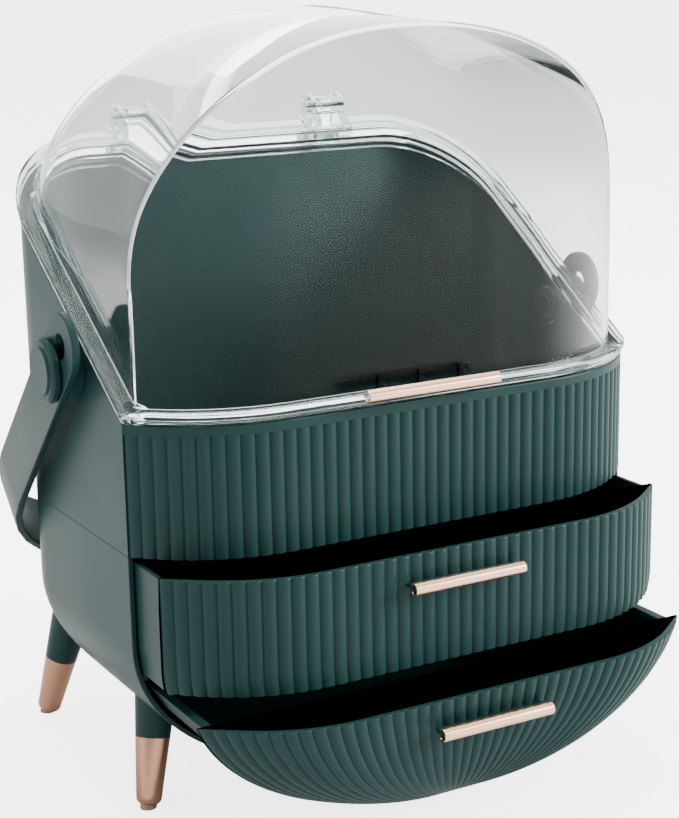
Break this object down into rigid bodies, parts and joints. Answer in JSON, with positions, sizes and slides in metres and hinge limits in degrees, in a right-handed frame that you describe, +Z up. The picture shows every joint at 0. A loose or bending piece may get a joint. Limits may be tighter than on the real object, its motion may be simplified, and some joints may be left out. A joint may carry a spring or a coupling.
{
  "type": "dustproof makeup organizer",
  "caption": "Domed clear-lidded makeup organizer with fluted bow-front drawers, a swinging strap handle and splayed capped legs.",
  "frame": {"origin": "on the standing surface, under the middle of the bounding box with the drawers open as pictured", "axes": "+X to the object's right seen from the front, +Y to the back, +Z up"},
  "size_m": [0.28, 0.26, 0.339],
  "materials": {
    "green_plastic": "satin moulded plastic, dark emerald green",
    "inner_plastic": "plain moulded plastic, very dark green",
    "clear_plastic": "polished clear plastic",
    "rose_gold": "satin rose-gold plating",
    "steel": "bright steel",
    "foot_rubber": "soft matt pad"
  },
  "bodies": {
    "case": {"upper_shell": "green_plastic", "lower_cabinet": "green_plastic", "drawer_shelf": "inner_plastic", "rim_frame": "clear_plastic", "hinge_pins": "steel", "handle_boss_left": "green_plastic", "handle_boss_right": "green_plastic", "leg_front_left": "green_plastic", "leg_front_right": "green_plastic", "leg_rear_left": "green_plastic", "leg_rear_right": "green_plastic", "leg_cap_front_left": "rose_gold", "leg_cap_front_right": "rose_gold", "leg_cap_rear_left": "rose_gold", "leg_cap_rear_right": "rose_gold", "foot_pads": "foot_rubber", "leg_screws": "steel"},
    "cover": {"cover_hood": "clear_plastic", "cover_pull": "rose_gold"},
    "upper_drawer": {"upper_drawer_tray": "green_plastic", "upper_drawer_front": "green_plastic", "upper_drawer_ledge": "green_plastic", "upper_drawer_pull": "rose_gold"},
    "lower_drawer": {"lower_drawer_tray": "green_plastic", "lower_drawer_front": "green_plastic", "lower_drawer_ledge": "green_plastic", "lower_drawer_pull": "rose_gold"},
    "handle_pins": {"handle_button_left": "green_plastic", "handle_button_right": "green_plastic", "pivot_retainers": "inner_plastic"},
    "handle": {"handle": "green_plastic"}
  },
  "joints": [
    {"name": "cover_hinge", "type": "hinge", "parent": "case", "child": "cover", "pos_m": [0, 0.10505, 0.28834], "axis": [-1, 0, 0], "range_deg": [0, 100]},
    {"name": "upper_drawer_slide", "type": "slide", "parent": "case", "child": "upper_drawer", "axis": [0, -1, 0], "range_m": [-0.0264, 0.07]},
    {"name": "lower_drawer_slide", "type": "slide", "parent": "case", "child": "lower_drawer", "axis": [0, -1, 0], "range_m": [-0.0503, 0.046]},
    {"name": "handle_swing", "type": "hinge", "parent": "case", "child": "handle_pins", "pos_m": [0, 0.00805, 0.194], "axis": [1, 0, 0], "range_deg": [0, 135]},
    {"name": "handle_extend", "type": "slide", "parent": "handle_pins", "child": "handle", "axis": [0, 0.7071, -0.7071], "range_m": [0, 0.017]}
  ]
}
